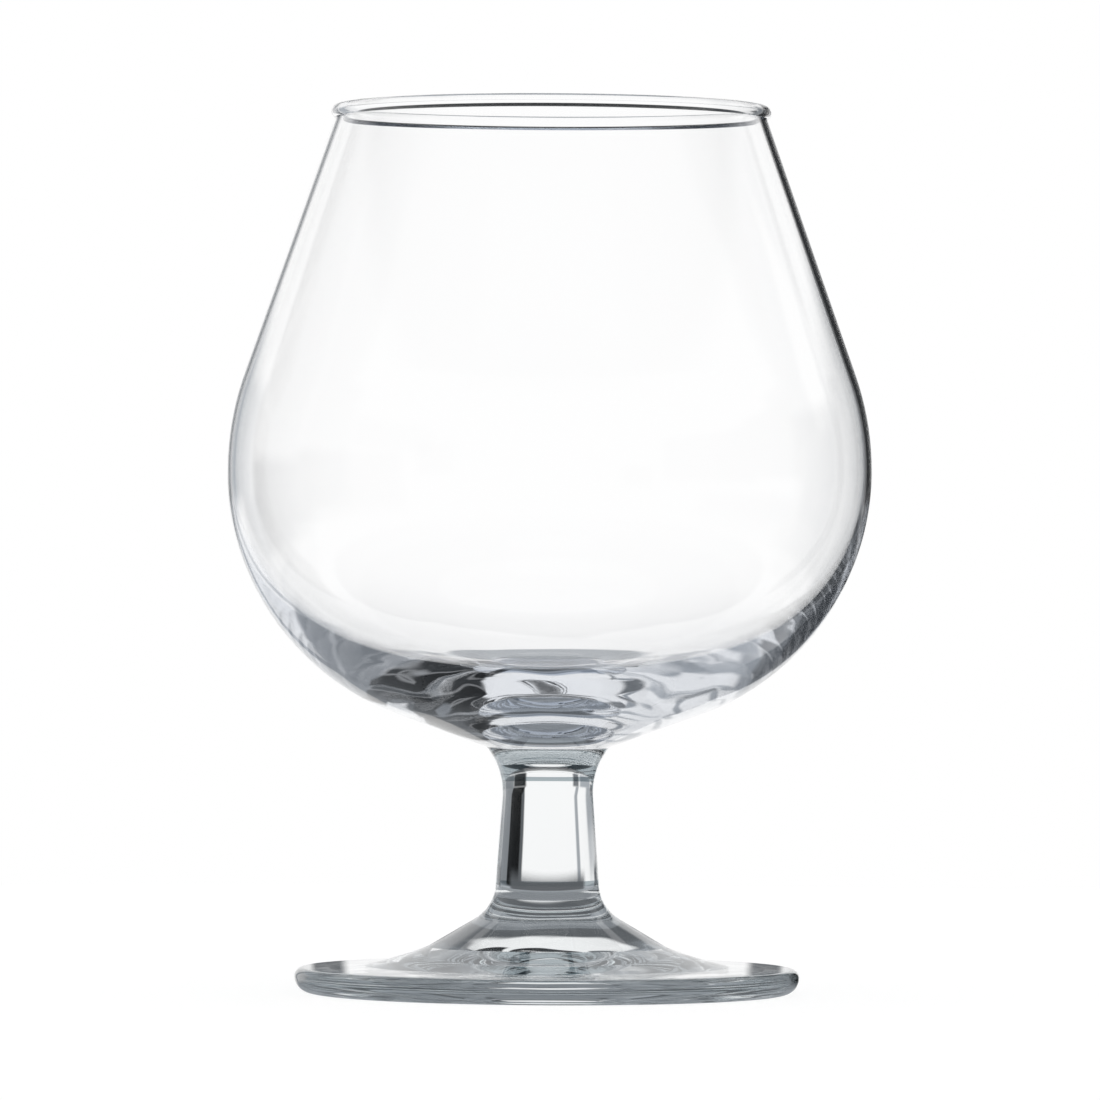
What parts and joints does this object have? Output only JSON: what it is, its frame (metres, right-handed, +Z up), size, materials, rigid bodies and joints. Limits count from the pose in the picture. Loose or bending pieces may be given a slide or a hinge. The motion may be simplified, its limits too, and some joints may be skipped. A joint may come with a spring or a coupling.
{
  "type": "brandy snifter",
  "caption": "Footed clear glass with a wide round bowl that narrows to a beaded rim, on a short tapered stem and a broad flat foot.",
  "frame": {"origin": "middle of the circle that the foot stands on", "axes": "+Z up along the glass's axis of revolution; X and Y lie in the resting plane, with no front or back"},
  "size_m": [0.0798, 0.0798, 0.11],
  "materials": {
    "bowl_glass": "clear blown soda-lime glass, fire polished",
    "base_glass": "clear pressed soda-lime glass, faint grey-green in its thickness"
  },
  "bodies": {
    "root": {"bowl": "bowl_glass", "collar": "base_glass", "stem": "base_glass", "foot": "base_glass"}
  },
  "joints": []
}
